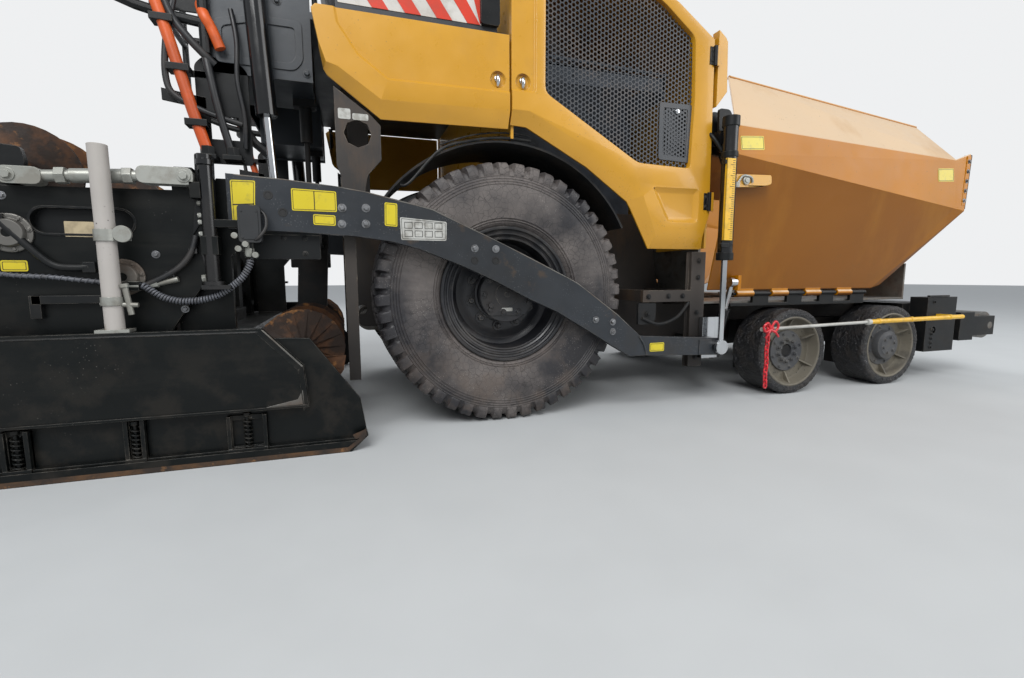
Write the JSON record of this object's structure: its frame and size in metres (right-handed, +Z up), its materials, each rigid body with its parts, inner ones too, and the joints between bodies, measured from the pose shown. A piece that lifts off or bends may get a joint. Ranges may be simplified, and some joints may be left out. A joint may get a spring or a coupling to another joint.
{
  "type": "wheeled asphalt paver",
  "caption": "Compact yellow wheeled asphalt paver with hopper, floating extending screed, augers, twin seats and folding canopy",
  "frame": {"origin": "on the ground under the middle of the machine", "axes": "+X travel direction (hopper end), +Y left side, +Z up"},
  "size_m": [5.475, 1.97, 3.46],
  "materials": {
    "frame_black": "satin black paint with dust and worn edges",
    "paver_yellow": "satin amber-yellow machine paint, lightly dusty",
    "roof_shell": "yellow glass-fibre shell",
    "engine_grey": "dull painted casting",
    "deck_grey": "dark grey satin paint",
    "mesh_black": "perforated sheet, black",
    "worn_steel": "bare plate, dull and scratched by stone",
    "auger_iron": "dull, brown with surface rust",
    "rod_chrome": "polished piston rod",
    "guide_white": "white painted bar with a yellow sleeve",
    "seat_cover": "black seat cloth",
    "tyre_rubber": "matt black, dusty and crazed",
    "front_wheel_rubber": "solid rubber tyre on a dusty open rim",
    "hose_rubber": "matt hose and cable covers"
  },
  "bodies": {
    "machine": {"frame_right": "frame_black", "frame_left": "frame_black", "chassis": "frame_black", "axles": "frame_black", "engine": "engine_grey", "hood": "paver_yellow", "mudguards": "frame_black", "platform": "deck_grey", "console": "deck_grey", "seats": "seat_cover", "handrails": "frame_black", "hopper_floor": "worn_steel", "conveyor": "worn_steel", "levelling_cylinders": "frame_black", "bumper": "frame_black", "guide_rods": "guide_white", "auger_frame": "frame_black", "hoses": "hose_rubber"},
    "rear_wheel_right": {"rear_tyre_right": "tyre_rubber", "rear_rim_right": "frame_black"},
    "knuckle_1_right": {"knuckle_1_right": "frame_black"},
    "front_wheel_1_right": {"front_wheel_1_right": "front_wheel_rubber"},
    "knuckle_2_right": {"knuckle_2_right": "frame_black"},
    "front_wheel_2_right": {"front_wheel_2_right": "front_wheel_rubber"},
    "rear_wheel_left": {"rear_tyre_left": "tyre_rubber", "rear_rim_left": "frame_black"},
    "knuckle_1_left": {"knuckle_1_left": "frame_black"},
    "front_wheel_1_left": {"front_wheel_1_left": "front_wheel_rubber"},
    "knuckle_2_left": {"knuckle_2_left": "frame_black"},
    "front_wheel_2_left": {"front_wheel_2_left": "front_wheel_rubber"},
    "tow_points": {"tow_points": "rod_chrome"},
    "screed": {"tow_arms": "frame_black", "screed_main": "frame_black"},
    "lift_barrels": {"lift_barrels": "frame_black"},
    "lift_rods": {"lift_rods": "rod_chrome"},
    "screed_ext_right": {"screed_ext_right": "frame_black", "cables": "hose_rubber", "curly_cable": "hose_rubber"},
    "end_gate_right": {"end_gate_right": "frame_black"},
    "auger_right": {"auger_right": "auger_iron"},
    "service_door_right": {"service_door_right": "paver_yellow"},
    "grille_door_right": {"grille_door_right": "paver_yellow", "grille_mesh_right": "mesh_black"},
    "wing_right": {"wing_right": "paver_yellow"},
    "wing_barrel_right": {"wing_barrel_right": "frame_black"},
    "wing_rod_right": {"wing_rod_right": "rod_chrome"},
    "screed_ext_left": {"screed_ext_left": "frame_black"},
    "end_gate_left": {"end_gate_left": "frame_black"},
    "auger_left": {"auger_left": "auger_iron"},
    "service_door_left": {"service_door_left": "paver_yellow"},
    "grille_door_left": {"grille_door_left": "paver_yellow", "grille_mesh_left": "mesh_black"},
    "wing_left": {"wing_left": "paver_yellow"},
    "wing_barrel_left": {"wing_barrel_left": "frame_black"},
    "wing_rod_left": {"wing_rod_left": "rod_chrome"},
    "roller_beam": {"roller_beam": "frame_black"},
    "push_rollers": {"push_rollers": "worn_steel"},
    "canopy_front_posts": {"canopy_front_posts": "frame_black"},
    "canopy_rear_posts": {"canopy_rear_posts": "frame_black"},
    "canopy_roof": {"canopy_roof": "roof_shell"}
  },
  "joints": [
    {"name": "rear_wheel_right_turn", "type": "hinge", "parent": "machine", "child": "rear_wheel_right", "pos_m": [-0.5875, -0.6175, 0.55], "axis": [0, 1, 0], "continuous": true},
    {"name": "steer_1_right", "type": "hinge", "parent": "machine", "child": "knuckle_1_right", "pos_m": [0.9935, -0.57, 0.228], "axis": [0, 0, 1], "range_deg": [-20, 20]},
    {"name": "front_wheel_1_right_turn", "type": "hinge", "parent": "knuckle_1_right", "child": "front_wheel_1_right", "pos_m": [0.9935, -0.7185, 0.228], "axis": [0, 1, 0], "continuous": true},
    {"name": "steer_2_right", "type": "hinge", "parent": "machine", "child": "knuckle_2_right", "pos_m": [1.7245, -0.57, 0.228], "axis": [0, 0, 1], "range_deg": [-20, 20]},
    {"name": "front_wheel_2_right_turn", "type": "hinge", "parent": "knuckle_2_right", "child": "front_wheel_2_right", "pos_m": [1.7245, -0.7185, 0.228], "axis": [0, 1, 0], "continuous": true},
    {"name": "rear_wheel_left_turn", "type": "hinge", "parent": "machine", "child": "rear_wheel_left", "pos_m": [-0.5875, 0.6175, 0.55], "axis": [0, 1, 0], "continuous": true},
    {"name": "steer_1_left", "type": "hinge", "parent": "machine", "child": "knuckle_1_left", "pos_m": [0.9935, 0.57, 0.228], "axis": [0, 0, 1], "range_deg": [-20, 20]},
    {"name": "front_wheel_1_left_turn", "type": "hinge", "parent": "knuckle_1_left", "child": "front_wheel_1_left", "pos_m": [0.9935, 0.7185, 0.228], "axis": [0, 1, 0], "continuous": true},
    {"name": "steer_2_left", "type": "hinge", "parent": "machine", "child": "knuckle_2_left", "pos_m": [1.7245, 0.57, 0.228], "axis": [0, 0, 1], "range_deg": [-20, 20]},
    {"name": "front_wheel_2_left_turn", "type": "hinge", "parent": "knuckle_2_left", "child": "front_wheel_2_left", "pos_m": [1.7245, 0.7185, 0.228], "axis": [0, 1, 0], "continuous": true},
    {"name": "tow_point_height", "type": "slide", "parent": "machine", "child": "tow_points", "axis": [0, 0, 1], "range_m": [0, 0.05]},
    {"name": "screed_lift", "type": "hinge", "parent": "tow_points", "child": "screed", "pos_m": [0.4525, 0, 0.288], "axis": [0, 1, 0], "range_deg": [0, 8]},
    {"name": "lift_barrel_swing", "type": "hinge", "parent": "machine", "child": "lift_barrels", "pos_m": [-1.5165, 0, 1.8], "axis": [0, 1, 0], "range_deg": [-9.57, 0.1]},
    {"name": "lift_rod_stroke", "type": "slide", "parent": "lift_barrels", "child": "lift_rods", "axis": [-0.049, 0, 0.9988], "range_m": [0, 0.2499]},
    {"name": "screed_extend_right", "type": "slide", "parent": "screed", "child": "screed_ext_right", "axis": [0, -1, 0], "range_m": [0, 0.75]},
    {"name": "end_gate_right_height", "type": "slide", "parent": "screed_ext_right", "child": "end_gate_right", "axis": [0, 0, 1], "range_m": [0, 0.1]},
    {"name": "auger_right_turn", "type": "hinge", "parent": "machine", "child": "auger_right", "pos_m": [-1.4155, -0.5, 0.34], "axis": [0, 1, 0], "continuous": true},
    {"name": "service_door_right_open", "type": "hinge", "parent": "machine", "child": "service_door_right", "pos_m": [-1.2875, -0.776, 1.51], "axis": [0, 0, -1], "range_deg": [0, 80]},
    {"name": "grille_door_right_open", "type": "hinge", "parent": "machine", "child": "grille_door_right", "pos_m": [0.3945, -0.834, 1.35], "axis": [0, 0, 1], "range_deg": [0, 80]},
    {"name": "wing_right_open", "type": "hinge", "parent": "machine", "child": "wing_right", "pos_m": [1.0125, -0.72, 0.535], "axis": [1, 0, 0], "range_deg": [0, 55]},
    {"name": "wing_barrel_right_swing", "type": "hinge", "parent": "machine", "child": "wing_barrel_right", "pos_m": [0.6125, -0.655, 0.225], "axis": [1, 0, 0], "range_deg": [-0.1, 8.23]},
    {"name": "wing_rod_right_stroke", "type": "slide", "parent": "wing_barrel_right", "child": "wing_rod_right", "axis": [0, 0.2921, -0.9564], "range_m": [0, 0.0525]},
    {"name": "screed_extend_left", "type": "slide", "parent": "screed", "child": "screed_ext_left", "axis": [0, 1, 0], "range_m": [0, 0.75]},
    {"name": "end_gate_left_height", "type": "slide", "parent": "screed_ext_left", "child": "end_gate_left", "axis": [0, 0, 1], "range_m": [0, 0.1]},
    {"name": "auger_left_turn", "type": "hinge", "parent": "machine", "child": "auger_left", "pos_m": [-1.4155, 0.5, 0.34], "axis": [0, 1, 0], "continuous": true},
    {"name": "service_door_left_open", "type": "hinge", "parent": "machine", "child": "service_door_left", "pos_m": [-1.2875, 0.776, 1.51], "axis": [0, 0, 1], "range_deg": [0, 80]},
    {"name": "grille_door_left_open", "type": "hinge", "parent": "machine", "child": "grille_door_left", "pos_m": [0.3945, 0.834, 1.35], "axis": [0, 0, -1], "range_deg": [0, 80]},
    {"name": "wing_left_open", "type": "hinge", "parent": "machine", "child": "wing_left", "pos_m": [1.0125, 0.72, 0.535], "axis": [-1, 0, 0], "range_deg": [0, 55]},
    {"name": "wing_barrel_left_swing", "type": "hinge", "parent": "machine", "child": "wing_barrel_left", "pos_m": [0.6125, 0.655, 0.225], "axis": [-1, 0, 0], "range_deg": [-0.1, 8.23]},
    {"name": "wing_rod_left_stroke", "type": "slide", "parent": "wing_barrel_left", "child": "wing_rod_left", "axis": [0, -0.2921, -0.9564], "range_m": [0, 0.0525]},
    {"name": "roller_beam_swing", "type": "hinge", "parent": "machine", "child": "roller_beam", "pos_m": [2.3175, 0, 0.312], "axis": [0, 0, 1], "range_deg": [-4, 4]},
    {"name": "push_roller_turn", "type": "hinge", "parent": "roller_beam", "child": "push_rollers", "pos_m": [2.6525, 0, 0.312], "axis": [0, 1, 0], "continuous": true},
    {"name": "canopy_fold", "type": "hinge", "parent": "machine", "child": "canopy_front_posts", "pos_m": [-0.4775, 0, 2.05], "axis": [0, 1, 0], "range_deg": [0, 60]},
    {"name": "canopy_rear_post_fold", "type": "hinge", "parent": "machine", "child": "canopy_rear_posts", "pos_m": [-1.5475, 0, 2.05], "axis": [0, 1, 0], "range_deg": [0, 60]},
    {"name": "canopy_roof_level", "type": "hinge", "parent": "canopy_front_posts", "child": "canopy_roof", "pos_m": [-0.4775, 0, 3.35], "axis": [0, 1, 0], "range_deg": [-60, 0]}
  ],
  "couplings": [
    {"joint": "steer_1_left", "follows": "steer_1_right", "ratio": 1},
    {"joint": "steer_2_right", "follows": "steer_1_right", "ratio": 1},
    {"joint": "steer_2_left", "follows": "steer_1_right", "ratio": 1},
    {"joint": "lift_barrel_swing", "follows": "screed_lift", "ratio": -1.1584},
    {"joint": "lift_rod_stroke", "follows": "screed_lift", "m_per_rad": 1.7753},
    {"joint": "wing_barrel_right_swing", "follows": "wing_right_open", "ratio": 0.14412},
    {"joint": "wing_rod_right_stroke", "follows": "wing_right_open", "m_per_rad": 0.05259},
    {"joint": "wing_barrel_left_swing", "follows": "wing_left_open", "ratio": 0.14412},
    {"joint": "wing_rod_left_stroke", "follows": "wing_left_open", "m_per_rad": 0.05259},
    {"joint": "canopy_rear_post_fold", "follows": "canopy_fold", "ratio": 1},
    {"joint": "canopy_roof_level", "follows": "canopy_fold", "ratio": -1}
  ]
}
